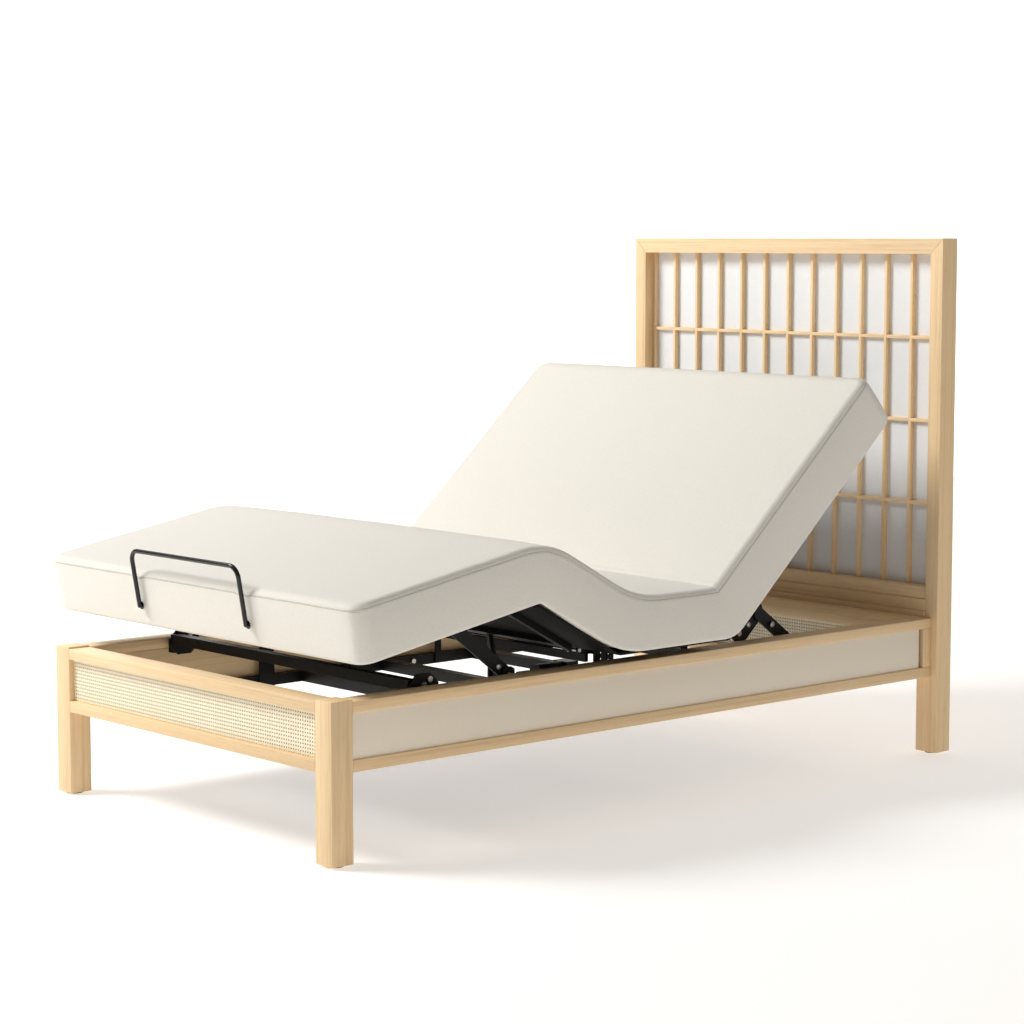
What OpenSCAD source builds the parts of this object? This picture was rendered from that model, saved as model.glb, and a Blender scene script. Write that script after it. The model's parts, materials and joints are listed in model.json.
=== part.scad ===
// Adjustable bed base: oak frame with cane and linen panels, shoji style headboard,
// steel chassis with two screw drives, and a padded platform in four hinged sections.
// Millimetres. +Y to the head, +X to the right as seen from the foot, +Z up, floor at z = 0.
// Drawn in the raised pose: back up, knees up, calf section sloping to the foot end.

/* [Timber frame] */
// Outer width over the side rails
frame_w = 1120; // [900:1:1800]
// Foot legs' front face to headboard's front face
frame_l = 2016; // [1950:1:2200]
// Square section of the foot legs, and width of the rails
leg = 60; // [45:1:90]
// Height of the foot legs
leg_h = 371; // [340:1:373]
// Top of the rails
rail_top = 367; // [330:1:370]
// Height of the top rails' section
rail_h = 26; // [18:1:40]
// Height of the bottom rails' section
rail_low_h = 28; // [18:1:40]
// Underside of the bottom rails
rail_bottom = 209; // [150:1:230]
// Thickness of the infill panels
panel_t = 6; // [3:0.5:10]
// How far the linen side panels sit back from the rail's face
side_recess = 5; // [1:1:15]
// How far the cane panel sits back from the foot rail's face
cane_recess = 13; // [4:1:20]
// Thickness of the inner lining boards
board_t = 12; // [8:1:20]
// Length of the end stile of a side rail
end_stile = 30; // [20:1:50]
// Shadow gap between the linen panel and the end stile
reveal = 13; // [5:1:25]
// Depth of the ledge at the head end of the frame
ledge_d = 123; // [80:1:160]
// Height of the leg glides
glide_h = 4; // [2:1:10]

/* [Headboard] */
// How far the headboard stands out past the frame on each side
head_over = 20; // [5:1:60]
// Height of the headboard
head_h = 1376; // [1000:1:1600]
// Depth of the headboard's box frame
head_d = 60; // [40:1:90]
// Face width of its stiles and top rail
stile = 42; // [30:1:60]
// Extra width of the leg part below the rail
leg_step = 26; // [10:1:40]
// Height of the bottom rail and of the boards under it
head_board_h = 32; // [20:1:50]
// Top of the lowest board, above the rail's top
head_plinth_h = 17; // [8:1:30]
// Width of the lattice bars
bar_w = 9; // [6:0.5:16]
// Depth of the lattice bars
bar_d = 14; // [10:0.5:24]
// Panes across
panes_x = 12; // [4:1:20]
// Panes up
panes_z = 4; // [2:1:8]

/* [Padded platform] */
// Width of the pads
pad_w = 1240; // [1000:1:1900]
// Thickness of the pads
pad_t = 145; // [100:1:200]
// Calf section, knee to foot end
calf_l = 526; // [400:1:650]
// Thigh section, hinge to knee
thigh_l = 298; // [220:1:380]
// Seat section, hinge to hinge
seat_l = 390; // [300:1:500]
// Back section, hinge to head end
back_l = 786; // [650:1:790]
// Height of the hinge axes
hinge_z = 392; // [390:1:420]
// Gap between the head end, laid flat, and the headboard
head_gap = 17; // [8:1:60]
// Back angle as drawn
back_a = 42.3; // [10:0.1:52]
// Thigh angle as drawn
thigh_a = 28.8; // [10:0.1:34]
// Slope of the calf section as drawn
calf_a = 10.1; // [0:0.1:20]
// Highest back angle
back_max = 52.3; // [45:0.1:60]
// Highest thigh angle
thigh_max = 34; // [30:0.1:40]
// Clearance between soft pads and what they rest on
soft_gap = 0.4; // [0.3:0.1:1]
// Height of the mattress retainer bar above the hinge plane
bar_top = 200; // [170:1:260]
// Width of the retainer bar between its legs
bar_span = 432; // [300:1:600]
// Diameter of the retainer bar's rod
bar_rod = 11; // [8:0.5:20]

/* [Steelwork] */
// Height of the platform's frame tubes
tube_h = 14; // [10:1:20]
// Width of the platform's frame tubes
tube_w = 20; // [15:1:30]
// Wall of all tubes
wall = 2; // [1.5:0.1:3]
// Thickness of the deck panels
deck_t = 6; // [4:0.5:10]
// Thickness of the steel plates
plate = 5; // [3:0.5:8]
// Side clearance between plates that move past each other
side_gap = 1; // [0.5:0.1:2]
// Side rail section of the chassis, height
chassis_h = 28; // [22:1:50]
// Side rail section of the chassis, width
chassis_w = 20; // [15:1:30]
// Height of the chassis cross tubes
cross_h = 28; // [20:1:35]
// Square section of the tube at the foot end
foot_tube = 25; // [18:1:32]
// Radius of the hinge pins
pin_r = 5; // [4:0.5:5]
// Radial running clearance of pins
run = 0.05; // [0.02:0.01:0.1]
// Play in the open pivots, where a link's arc is not an exact circle
play = 2.2; // [1.6:0.1:4]
// Width of the link bars
link_w = 34; // [24:1:44]
// Length of the levers that the drives push
lever = 104; // [90:1:110]
// Distance of each drive from the centre line
drive_x = 110; // [80:1:200]

/* [Hidden] */

$fn = 48;
oak = [0.87, 0.74, 0.55];
cane = [0.9, 0.84, 0.7];
linen = [0.77, 0.73, 0.66];
paper = [0.95, 0.95, 0.94];
steel = [0.06, 0.06, 0.065];
zinc = [0.75, 0.75, 0.76];
cream = [0.93, 0.91, 0.86];

head_w = frame_w + 2 * head_over;               // outer width of the headboard
in_x = frame_w / 2 - leg;                       // inner face of the side rails
low_top = rail_bottom + rail_low_h;             // top of the bottom rails
high_low = rail_top - rail_h;                   // underside of the top rails
h2y = frame_l - head_gap - back_l;              // back hinge
h1y = h2y - seat_l;                             // thigh hinge
ky = h1y - thigh_l * cos(thigh_a);              // knee
kz = hinge_z + thigh_l * sin(thigh_a);
bar_s = calf_l + bar_rod / 2 + 5.5;             // retainer bar's plane, from the knee
front_y = min(0, ky - bar_s * cos(calf_a) - bar_top * sin(calf_a) - bar_rod / 2);
mid_y = (front_y + frame_l + head_d) / 2;       // the origin is the middle of the outline
head_in = head_w / 2 - stile;                   // inner face of the headboard's stiles
plinth_z = rail_top + head_plinth_h;
head_low = plinth_z + 2 * head_board_h;         // lower edge of the paper panel
head_top = head_h - stile;
ledge_y = frame_l - ledge_d;

pad_n = deck_t + 2 + soft_gap;                  // pad's underside above the hinge plane
tube_n = 2 - tube_h;                            // tube's underside from the hinge plane
fix_x = in_x - chassis_w - plate;               // chassis brackets, then inwards from them:
link_x = fix_x - side_gap - plate;              // links
hang_x = link_x - side_gap - plate;             // stay plates and calf lugs
ear_out = hang_x - 2;                           // ear on the outside of the platform tubes
tube_x = ear_out - side_gap - tube_w;           // platform tubes, inner face
ear_in = tube_x - plate - side_gap;             // ear on the inside
ear_r = pin_r + 3;                              // round end of the hinge ears
deck_s = ear_r + 1;                             // deck panels start this far from a hinge
chassis_z = rail_bottom + 3;
cross_z = chassis_z + cross_h;                  // top of the cross tubes

// Calf struts: pivots on the chassis and on the calf section
strut_s = 150;
strut_n = -20;
strut_fy = h1y - 237.9;
strut_fz = hinge_z - 31.1;
strut_py = ky - strut_s * cos(calf_a) - strut_n * sin(calf_a);
strut_pz = kz - strut_s * sin(calf_a) + strut_n * cos(calf_a);
strut_l = norm([strut_py - strut_fy, strut_pz - strut_fz]);
strut_a = atan2(strut_pz - strut_fz, strut_py - strut_fy);

// Back stays: equal arms, so the roller keeps to a straight line through the back hinge
stay_s = 190;
stay_n = -130;
stay_l = norm([stay_s, stay_n]);
stay_dir = back_a + atan2(stay_n, stay_s);
stay_slope = -36;
track_a = (stay_slope + stay_dir) / 2;
stay_ay = h2y + stay_l * cos(stay_dir);
stay_az = hinge_z + stay_l * sin(stay_dir);
track_near = 2 * stay_l * cos(stay_dir + back_max - back_a - track_a);
track_far = 2 * stay_l;
roller_r = 7;

// Drives: each lever swings evenly to both sides of straight down
head_pin_a = -90 + back_a - back_max / 2;
foot_pin_a = -90 - thigh_a + thigh_max / 2;
head_pin = [h2y + lever * cos(head_pin_a), hinge_z + lever * sin(head_pin_a)];
foot_pin = [h1y + lever * cos(foot_pin_a), hinge_z + lever * sin(foot_pin_a)];
drive_pin_r = 6;
cross_ys = [h1y - 120, h1y + 150, h2y + 78, h2y + 500];
plate_top = cross_z + 4;
foot_drive_x = drive_x + 80;

// ---- helpers -------------------------------------------------------------

module box(x0, x1, y0, y1, z0, z1) {
  translate([x0, y0, z0]) cube([x1 - x0, y1 - y0, z1 - z0]);
}

// A profile in Y and Z, made solid from x0 to x1
module yz(x0, x1) {
  translate([x0, 0, 0]) rotate([90, 0, 90]) linear_extrude(x1 - x0) children();
}

// A round bar along X
module rod_x(x0, x1, y, z, r) {
  translate([x0, y, z]) rotate([0, 90, 0]) cylinder(r = r, h = x1 - x0);
}

module both() {
  children();
  mirror([1, 0, 0]) children();
}

module tube_y(x0, x1, y0, y1, z0, z1) {
  difference() {
    box(x0, x1, y0, y1, z0, z1);
    box(x0 + wall, x1 - wall, y0 - 1, y1 + 1, z0 + wall, z1 - wall);
  }
}

module tube_x(x0, x1, y0, y1, z0, z1) {
  difference() {
    box(x0, x1, y0, y1, z0, z1);
    box(x0 - 1, x1 + 1, y0 + wall, y1 - wall, z0 + wall, z1 - wall);
  }
}

module placed() { translate([0, -mid_y, 0]) children(); }
module on_back() { placed() translate([0, h2y, hinge_z]) rotate([back_a, 0, 0]) children(); }
// On the thigh and calf sections y runs to the head, so points beyond the hinge are negative
module on_thigh() { placed() translate([0, h1y, hinge_z]) rotate([-thigh_a, 0, 0]) children(); }
module on_calf() { placed() translate([0, ky, kz]) rotate([calf_a, 0, 0]) children(); }

// Plate in Y and Z through two points, with round ends
module bar_2d(a, b, w) {
  hull() {
    translate(a) circle(d = w);
    translate(b) circle(d = w);
  }
}

// ---- timber frame --------------------------------------------------------

module leg_foot() { color(oak) box(in_x, frame_w / 2, 0, leg, glide_h, leg_h); }
module leg_foot_left() { placed() mirror([1, 0, 0]) leg_foot(); }
module leg_foot_right() { placed() leg_foot(); }

module leg_glides() {
  color(steel) placed() both() {
    translate([frame_w / 2 - leg / 2, leg / 2, 0]) cylinder(r = leg / 3, h = glide_h);
    translate([head_w / 2 - stile / 2 - leg_step / 2, frame_l + head_d / 2, 0])
      cylinder(r = leg / 3, h = glide_h);
  }
}

module foot_rail_top() { color(oak) placed() box(-in_x, in_x, 0, leg, high_low, rail_top); }
module foot_rail_bottom() { color(oak) placed() box(-in_x, in_x, 0, leg, rail_bottom, low_top); }
module foot_cane_panel() {
  color(cane) placed() box(-in_x, in_x, cane_recess, cane_recess + panel_t, low_top, high_low);
}

module side_rail(z0, z1) { color(oak) placed() box(in_x, frame_w / 2, leg, frame_l, z0, z1); }
module side_rail_top_right() { side_rail(high_low, rail_top); }
module side_rail_top_left() { mirror([1, 0, 0]) side_rail(high_low, rail_top); }
module side_rail_bottom_right() { side_rail(rail_bottom, low_top); }
module side_rail_bottom_left() { mirror([1, 0, 0]) side_rail(rail_bottom, low_top); }

module side_panel() {
  x = frame_w / 2 - side_recess;
  color(linen) placed() box(x - panel_t, x, leg, frame_l - end_stile - reveal, low_top, high_low);
}
module side_panel_right() { side_panel(); }
module side_panel_left() { mirror([1, 0, 0]) side_panel(); }

module side_board() {
  color(oak) placed() box(in_x, in_x + board_t, leg, frame_l - end_stile, low_top, high_low);
}
module side_board_right() { side_board(); }
module side_board_left() { mirror([1, 0, 0]) side_board(); }

module side_stile() {
  color(oak) placed() box(in_x, frame_w / 2, frame_l - end_stile, frame_l, low_top, high_low);
}
module side_stile_right() { side_stile(); }
module side_stile_left() { mirror([1, 0, 0]) side_stile(); }

module head_ledge() {
  color(oak) placed() difference() {
    box(-in_x, in_x, ledge_y, frame_l, high_low, rail_top);
    box(-in_x + 30, in_x - 30, ledge_y + 25, ledge_y + 28, rail_top - 5, rail_top + 1);
  }
}
module head_rail_bottom() {
  color(oak) placed() box(-in_x, in_x, ledge_y, ledge_y + leg, rail_bottom, low_top);
}
module head_cane_panel() {
  color(cane) placed() box(-in_x, in_x, ledge_y + 6, ledge_y + 6 + panel_t, low_top, high_low);
}

// ---- headboard -----------------------------------------------------------

// Profile in X and Z, made solid over the headboard's depth
module xz(y0, y1) {
  translate([0, y1, 0]) rotate([90, 0, 0]) linear_extrude(y1 - y0) children();
}

module headboard_stile() {
  color(oak) placed() xz(frame_l, frame_l + head_d) polygon([
    [head_in - leg_step, glide_h], [head_w / 2, glide_h], [head_w / 2, head_h],
    [head_in, head_top], [head_in, rail_top], [head_in - leg_step, rail_top]
  ]);
}
module headboard_stile_right() { headboard_stile(); }
module headboard_stile_left() { mirror([1, 0, 0]) headboard_stile(); }

module headboard_top_rail() {
  color(oak) placed() xz(frame_l, frame_l + head_d) polygon([
    [-head_w / 2, head_h], [head_w / 2, head_h], [head_in, head_top], [-head_in, head_top]
  ]);
}

module headboard_bottom_rail() {
  color(oak) placed()
    box(-head_in, head_in, frame_l + 4, frame_l + head_d, head_low - head_board_h, head_low);
}
module headboard_foot_boards() {
  color(oak) placed() {
    box(-head_in, head_in, frame_l, frame_l + head_d, plinth_z, plinth_z + head_board_h - 0.5);
    box(-head_in, head_in, frame_l - 4, frame_l + head_d, rail_top + 0.2, plinth_z - 0.5);
  }
}

panel_y = frame_l + 45;
module shoji_panel() {
  color(paper) placed() box(-head_in, head_in, panel_y, panel_y + 4, head_low, head_top);
}
module headboard_back() {
  color(oak) placed() box(-head_in, head_in, panel_y + 4, frame_l + head_d, head_low, head_top);
}

pane_w = 2 * head_in / panes_x;
pane_h = (head_top - head_low) / panes_z;
module lattice_verticals() {
  color(oak) placed() difference() {
    union() {
      for (i = [1 : panes_x - 1])
        box(-head_in + i * pane_w - bar_w / 2, -head_in + i * pane_w + bar_w / 2,
            panel_y - bar_d, panel_y, head_low, head_top);
      both() box(head_in - bar_w, head_in, panel_y - bar_d, panel_y, head_low, head_top);
    }
    for (k = [1 : panes_z - 1])
      box(-head_in - 1, head_in + 1, panel_y - bar_d / 2, panel_y + 1,
          head_low + k * pane_h - bar_w / 2, head_low + k * pane_h + bar_w / 2);
  }
}
module lattice_horizontals() {
  color(oak) placed() difference() {
    for (k = [1 : panes_z - 1])
      box(-head_in, head_in, panel_y - bar_d, panel_y,
          head_low + k * pane_h - bar_w / 2, head_low + k * pane_h + bar_w / 2);
    for (i = [1 : panes_x - 1])
      box(-head_in + i * pane_w - bar_w / 2, -head_in + i * pane_w + bar_w / 2,
          panel_y - bar_d - 1, panel_y - bar_d / 2, head_low, head_top);
    both() box(head_in - bar_w, head_in + 1, panel_y - bar_d - 1, panel_y - bar_d / 2,
               head_low, head_top);
  }
}

// ---- steel chassis -------------------------------------------------------

// Side rail with the brackets for the calf strut and for the back stay's roller
module chassis() {
  color(steel) placed() {
    difference() {
      union() {
        box(in_x - chassis_w, in_x, 160, ledge_y - 20, chassis_z, chassis_z + chassis_h);
        yz(fix_x, in_x - chassis_w) polygon([
          [strut_fy - 26, chassis_z], [strut_fy + 26, chassis_z],
          [strut_fy + 18, strut_fz + 12], [strut_fy + 8, strut_fz + 18],
          [strut_fy - 8, strut_fz + 18], [strut_fy - 18, strut_fz + 12]
        ]);
        yz(fix_x, in_x - chassis_w) stay_bracket_2d();
      }
      box(in_x - chassis_w + wall, in_x - wall, 159, ledge_y, chassis_z + wall,
          chassis_z + chassis_h - wall);
      rod_x(fix_x - 1, in_x - chassis_w + 1, strut_fy, strut_fz, pin_r + run);
      yz(fix_x - 1, in_x - chassis_w + 1)
        translate([h2y, hinge_z]) rotate(track_a)
          bar_2d([track_near - 2, 0], [track_far + 2, 0], 2 * (roller_r + run));
    }
  }
}
module stay_bracket_2d() {
  y0 = h2y + (track_near - 24) * cos(track_a);
  y1 = h2y + (track_far + 24) * cos(track_a);
  z0 = hinge_z + (track_near - 24) * sin(track_a);
  z1 = hinge_z + (track_far + 24) * sin(track_a);
  polygon([[y0, chassis_z], [y1, chassis_z], [y1, z1 + 22], [y0, z0 + 22]]);
}
module chassis_right() { chassis(); }
module chassis_left() { mirror([1, 0, 0]) chassis(); }

module chassis_cross_tubes() {
  color(steel) placed() for (y = cross_ys)
    tube_x(-in_x + chassis_w + 0.2, in_x - chassis_w - 0.2, y, y + 30, chassis_z, cross_z);
}

foot_y = 285;
foot_z = hinge_z + tube_n - 1 - foot_tube;
module foot_cross_tube() {
  x = in_x - chassis_w - plate - 0.2;
  color(steel) placed() tube_x(-x, x, foot_y, foot_y + foot_tube, foot_z, foot_z + foot_tube);
}

module foot_bracket() {
  y = foot_y - 4;
  top = hinge_z - 1;
  color(steel) placed() difference() {
    union() {
      yz(in_x - chassis_w - plate, in_x - chassis_w) polygon([
        [y + 26, top - 66], [y + 66, top - 66], [y + 90, top - 42], [y + 90, top - 24],
        [y + 66, top], [y + 26, top], [y, top - 26], [y, top - 42]
      ]);
      box(in_x - chassis_w - 0.1, in_x, y + 14, y + 76, top - 62, top - 36);
    }
    for (p = [[y + 62, top - 14], [y + 44, top - 26]])
      rod_x(in_x - chassis_w - plate - 1, in_x - chassis_w + 1, p[0], p[1], 4.1);
  }
}
module foot_bracket_right() { foot_bracket(); }
module foot_bracket_left() { mirror([1, 0, 0]) foot_bracket(); }

// Bolts through the foot brackets, and through the chassis rails into the lining boards
module frame_bolts() {
  y = foot_y - 4;
  top = hinge_z - 1;
  x = in_x - chassis_w;
  color(zinc) placed() both() {
    for (p = [[y + 62, top - 14], [y + 44, top - 26]]) {
      rod_x(x - plate - 5, x - plate - 0.1, p[0], p[1], 7);
      rod_x(x - plate - 0.2, x + 0.1, p[0], p[1], 4);
      rod_x(x + 0.1, x + 5, p[0], p[1], 7);
    }
    for (yy = [420, 1080, 1800])
      rod_x(x - 5, x - 0.1, yy, chassis_z + chassis_h / 2, 7);
  }
}

// ---- seat section --------------------------------------------------------

module ladder(y0, y1, rungs) {
  both() tube_y(tube_x, tube_x + tube_w, y0, y1, tube_n, 2);
  for (y = rungs) tube_x(-tube_x + 0.2, tube_x - 0.2, y, y + tube_w, tube_n, 2);
}

// Hinge ear on a tube, reaching back to the axis at the origin; dir is the tube's side
module ear(x0, dir, reach) {
  difference() {
    yz(x0, x0 + plate) difference() {
      hull() {
        circle(r = ear_r);
        translate([dir * reach - 8, tube_n]) square([16, tube_h]);
      }
      translate([dir > 0 ? deck_s - 0.5 : -deck_s - 99.5, 1.9]) square([100, 20]);
    }
    rod_x(x0 - 1, x0 + plate + 1, 0, 0, pin_r + run);
  }
}

seat_rungs = [h1y + 36, h2y - 36 - tube_w];
module seat_frame() {
  x = in_x - chassis_w;
  color(steel) placed() {
    translate([0, 0, hinge_z]) {
      ladder(h1y + 22, h2y - 22, seat_rungs);
      tube_x(-tube_x - tube_w, tube_x + tube_w, h1y + 24, h1y + 24 + tube_w - 10, tube_n - 20,
             tube_n - 0.2);
    }
    both() translate([0, h1y, hinge_z]) ear(ear_out, 1, 40);
    both() translate([0, h2y, hinge_z]) ear(ear_out, -1, 40);
    both() for (y = seat_rungs) {
      box(tube_x + tube_w + 0.2, x - 0.2, y, y + tube_w, hinge_z + tube_n, hinge_z - 4);
      box(x - plate, x - 0.2, y, y + tube_w, chassis_z + 2, hinge_z + tube_n - 0.2);
    }
  }
}
module seat_deck() {
  color(steel) placed()
    box(-pad_w / 2 + 20, pad_w / 2 - 20, h1y + deck_s, h2y - deck_s, hinge_z + 2,
        hinge_z + 2 + deck_t);
}

// Pins of the two seat hinges, and of the strut pivots on the chassis
module hinge_pin(y, z) {
  rod_x(ear_in - 3, ear_out + plate + 0.8, y, z, pin_r);
  rod_x(ear_in - 7, ear_in - 0.6, y, z, ear_r);
}
module hinge_pins() {
  color(zinc) placed() both() {
    hinge_pin(h1y, hinge_z);
    hinge_pin(h2y, hinge_z);
    rod_x(link_x - 4, fix_x + plate + 3, strut_fy, strut_fz, pin_r);
    rod_x(link_x - 5, link_x - 0.5, strut_fy, strut_fz, pin_r + 3);
  }
}

// Pad section in Y and Z: plain lengths, with mitred ends where sections close on each other
module pad(pts) { color(cream) yz(-pad_w / 2, pad_w / 2) polygon(pts); }
pad_top = pad_n + pad_t;
mitre_back = tan(back_max / 2 + 0.6);
mitre_thigh = tan(thigh_max / 2 + 0.6);

module pad_seat() {
  placed() translate([0, 0, hinge_z]) pad([
    [h1y + 2 + pad_n * mitre_thigh, pad_n], [h2y - 2 - pad_n * mitre_back, pad_n],
    [h2y - 2 - pad_top * mitre_back, pad_top], [h1y + 2 + pad_top * mitre_thigh, pad_top]
  ]);
}

// ---- drives --------------------------------------------------------------

// Guide rail on two cross tubes with its motor at one end; dir is the way it pushes
module drive(x, y0, y1, motor_y, dir) {
  translate([x, 0, 0]) {
    box(-27, 27, y0, y1, cross_z + 0.2, plate_top);
    both() box(22, 27, y0, y1, plate_top - 0.1, plate_top + 24);
    box(-26, 26, motor_y - 20, motor_y + 20, plate_top, plate_top + 52);
    translate([0, motor_y - dir * 20, plate_top + 28]) rotate([dir * 90, 0, 0])
      cylinder(r = 24, h = 84);
  }
}
module foot_drive() {
  color(steel) placed()
    drive(foot_drive_x, cross_ys[0], cross_ys[1] + 30, h1y + 84, -1);
}
module head_drive() {
  color(steel) placed()
    drive(drive_x, cross_ys[1] - 60, cross_ys[2] + 30, h2y - 108, 1);
}

// Sliding nut block with a yoke: the lever's pin rides up and down in its slots
module carriage(x, pin) {
  low = plate_top + 0.5;
  top = low + 24;
  slot_a = hinge_z - lever;
  color(steel) placed() translate([x, 0, 0]) difference() {
    union() {
      box(-21.5, 21.5, pin[0] - 26, pin[0] + 26, low, top);
      both() box(8, 14, pin[0] - 20, pin[0] + 20, top - 0.1, hinge_z - lever + 34);
    }
    yz(-20, 20) bar_2d([pin[0], slot_a - 1.5], [pin[0], slot_a + 14], 2 * (drive_pin_r + 1));
    box(-8, 8, pin[0] - 30, pin[0] + 30, slot_a - 18, top + 1);
  }
}
module foot_carriage() { carriage(foot_drive_x, foot_pin); }
module head_carriage() { carriage(drive_x, head_pin); }

// Box on a cross tube, with the mains gland on one end and plug bosses for the drives on the other
module control_box() {
  y = cross_ys[1] - 30;
  mid_z = cross_z + 20;
  color(steel) placed() {
    box(230, 390, y, y + 90, cross_z + 0.2, cross_z + 40);
    box(222, 398, y + 34, y + 58, cross_z + 0.2, cross_z + 5);
    rod_x(389, 398, y + 45, mid_z, 9);
    for (k = [0, 1]) box(224, 231, y + 14 + 38 * k, y + 38 + 38 * k, mid_z - 8, mid_z + 8);
  }
}

// ---- back section --------------------------------------------------------

// Lever with its cross pin, drawn upright: the angle is from straight down
module drive_lever(x, a, foot) {
  tip = [lever * sin(a), -lever * cos(a)];
  translate([x, 0, 0]) {
    yz(-5, 5) polygon(concat(foot, [tip + [-11, 0], tip + [-7, -9], tip + [7, -9], tip + [11, 0]]));
    rod_x(-15, 15, tip[0], tip[1], drive_pin_r);
  }
}

module back_frame() {
  color(steel) on_back() {
    ladder(22, back_l - 60, [40, 400, back_l - 60 - tube_w]);
    both() ear(ear_in, 1, 40);
    drive_lever(drive_x, -back_max / 2, [[52, tube_n - 0.2], [38, tube_n - 0.2]]);
  }
}
module back_deck() {
  color(steel) on_back() box(-pad_w / 2 + 20, pad_w / 2 - 20, deck_s, back_l - 50, 2,
                                2 + deck_t);
}

// Hanger plates under the back with the stays' pivot pins
module stay_plates() {
  color(steel) on_back() both() {
    yz(hang_x, hang_x + plate) polygon([
      [86, stay_n - 18], [86, stay_n + 22], [144, stay_n + 22], [158, tube_n - 0.2],
      [214, tube_n - 0.2], [214, stay_n + 2], [196, stay_n - 18]
    ]);
    rod_x(hang_x - 4, link_x + plate + 0.6, stay_s, stay_n, pin_r);
    rod_x(hang_x - 4, hang_x, stay_s, stay_n, pin_r + 3);
    for (p = [[110, stay_n + 2], [150, stay_n + 4], [186, -60], [186, -30]])
      rod_x(hang_x - 3, hang_x, p[0], p[1], 6);
    box(tube_x + tube_w + 0.2, hang_x + plate, 158, 214, tube_n, 1.5);
  }
}
module pad_back() {
  on_back() pad([
    [2 + pad_n * mitre_back, pad_n], [back_l, pad_n], [back_l, pad_top],
    [2 + pad_top * mitre_back, pad_top]
  ]);
}

// ---- thigh section -------------------------------------------------------

module thigh_frame() {
  color(steel) on_thigh() {
    ladder(-thigh_l + 22, -22, [-60, -thigh_l + 40]);
    both() ear(ear_in, -1, 40);
    both() translate([0, -thigh_l, 0]) ear(ear_out, 1, 40);
    drive_lever(foot_drive_x, thigh_max / 2, [[-40, tube_n - 0.2], [-56, tube_n - 0.2]]);
  }
}
module thigh_deck() {
  color(steel) on_thigh()
    box(-pad_w / 2 + 20, pad_w / 2 - 20, -thigh_l + deck_s, -deck_s, 2, 2 + deck_t);
}
module knee_pins() {
  color(zinc) on_thigh() both() hinge_pin(-thigh_l, 0);
}
module pad_thigh() {
  on_thigh() pad([
    [-2 - pad_n * mitre_thigh, pad_n], [-thigh_l + 0.5, pad_n], [-thigh_l + 0.5, pad_top],
    [-2 - pad_top * mitre_thigh, pad_top]
  ]);
}

// ---- calf section --------------------------------------------------------

module calf_frame() {
  color(steel) on_calf() {
    ladder(-calf_l + 60, -22, [-60, -calf_l + 60]);
    both() ear(ear_in, -1, 40);
    both() difference() {
      union() {
        yz(hang_x, hang_x + plate) polygon([
          [-strut_s - 22, tube_n], [-strut_s - 15, strut_n - 15],
          [-strut_s + 15, strut_n - 15], [-strut_s + 22, tube_n], [-strut_s + 22, 1.5],
          [-strut_s - 22, 1.5]
        ]);
        box(tube_x + tube_w + 0.2, hang_x + plate, -strut_s - 22, -strut_s + 22, tube_n, 1.5);
      }
      rod_x(hang_x - 1, hang_x + plate + 1, -strut_s, strut_n, pin_r + play);
    }
  }
}
module calf_deck() {
  color(steel) on_calf()
    box(-pad_w / 2 + 60, pad_w / 2 - 60, -calf_l + 55, -deck_s, 2, 2 + deck_t);
}
module pad_calf() {
  on_calf() pad([[-0.5, pad_n], [-calf_l, pad_n], [-calf_l, pad_top], [-0.5, pad_top]]);
}

// Bent rod: two legs, a top run with round corners, and feet turned in to the platform
module retainer_bar() {
  r = bar_rod / 2;
  bend = 28;
  x = bar_span / 2;
  foot_n = 62;
  color(steel) on_calf() translate([0, -bar_s, 0]) {
    both() {
      translate([x, 0, foot_n]) cylinder(r = r, h = bar_top - bend - foot_n);
      translate([x - bend, 0, bar_top - bend]) rotate([90, 0, 0])
        rotate_extrude(angle = 90) translate([bend, 0]) circle(r = r);
      rod_x(0, x - bend, 0, bar_top, r);
      translate([x, 0, foot_n]) sphere(r = r);
      translate([x, 0, foot_n]) rotate([-90, 0, 0]) cylinder(r = r, h = 5.1);
      translate([x, 4.6, foot_n]) rotate([-90, 0, 0]) cylinder(r = r + 5, h = 0.5);
    }
  }
}

// ---- links ---------------------------------------------------------------

module strut() {
  color(steel) placed() difference() {
    union() {
      yz(link_x, link_x + plate) bar_2d([strut_fy, strut_fz], [strut_py, strut_pz], link_w);
      rod_x(hang_x - 3, link_x + 0.1, strut_py, strut_pz, pin_r);
    }
    rod_x(link_x - 1, link_x + plate + 1, strut_fy, strut_fz, pin_r + run);
  }
}
module strut_right() { strut(); }
module strut_left() { mirror([1, 0, 0]) strut(); }

module stay() {
  g = [stay_ay + stay_l * cos(stay_slope), stay_az + stay_l * sin(stay_slope)];
  color(steel) placed() difference() {
    union() {
      yz(link_x, link_x + plate) bar_2d([stay_ay, stay_az], g, link_w);
      rod_x(link_x + plate - 0.1, fix_x + plate - 0.6, g[0], g[1], roller_r);
    }
    rod_x(link_x - 1, link_x + plate + 1, stay_ay, stay_az, pin_r + run);
  }
}
module stay_right() { stay(); }
module stay_left() { mirror([1, 0, 0]) stay(); }

// ---- output --------------------------------------------------------------

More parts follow.
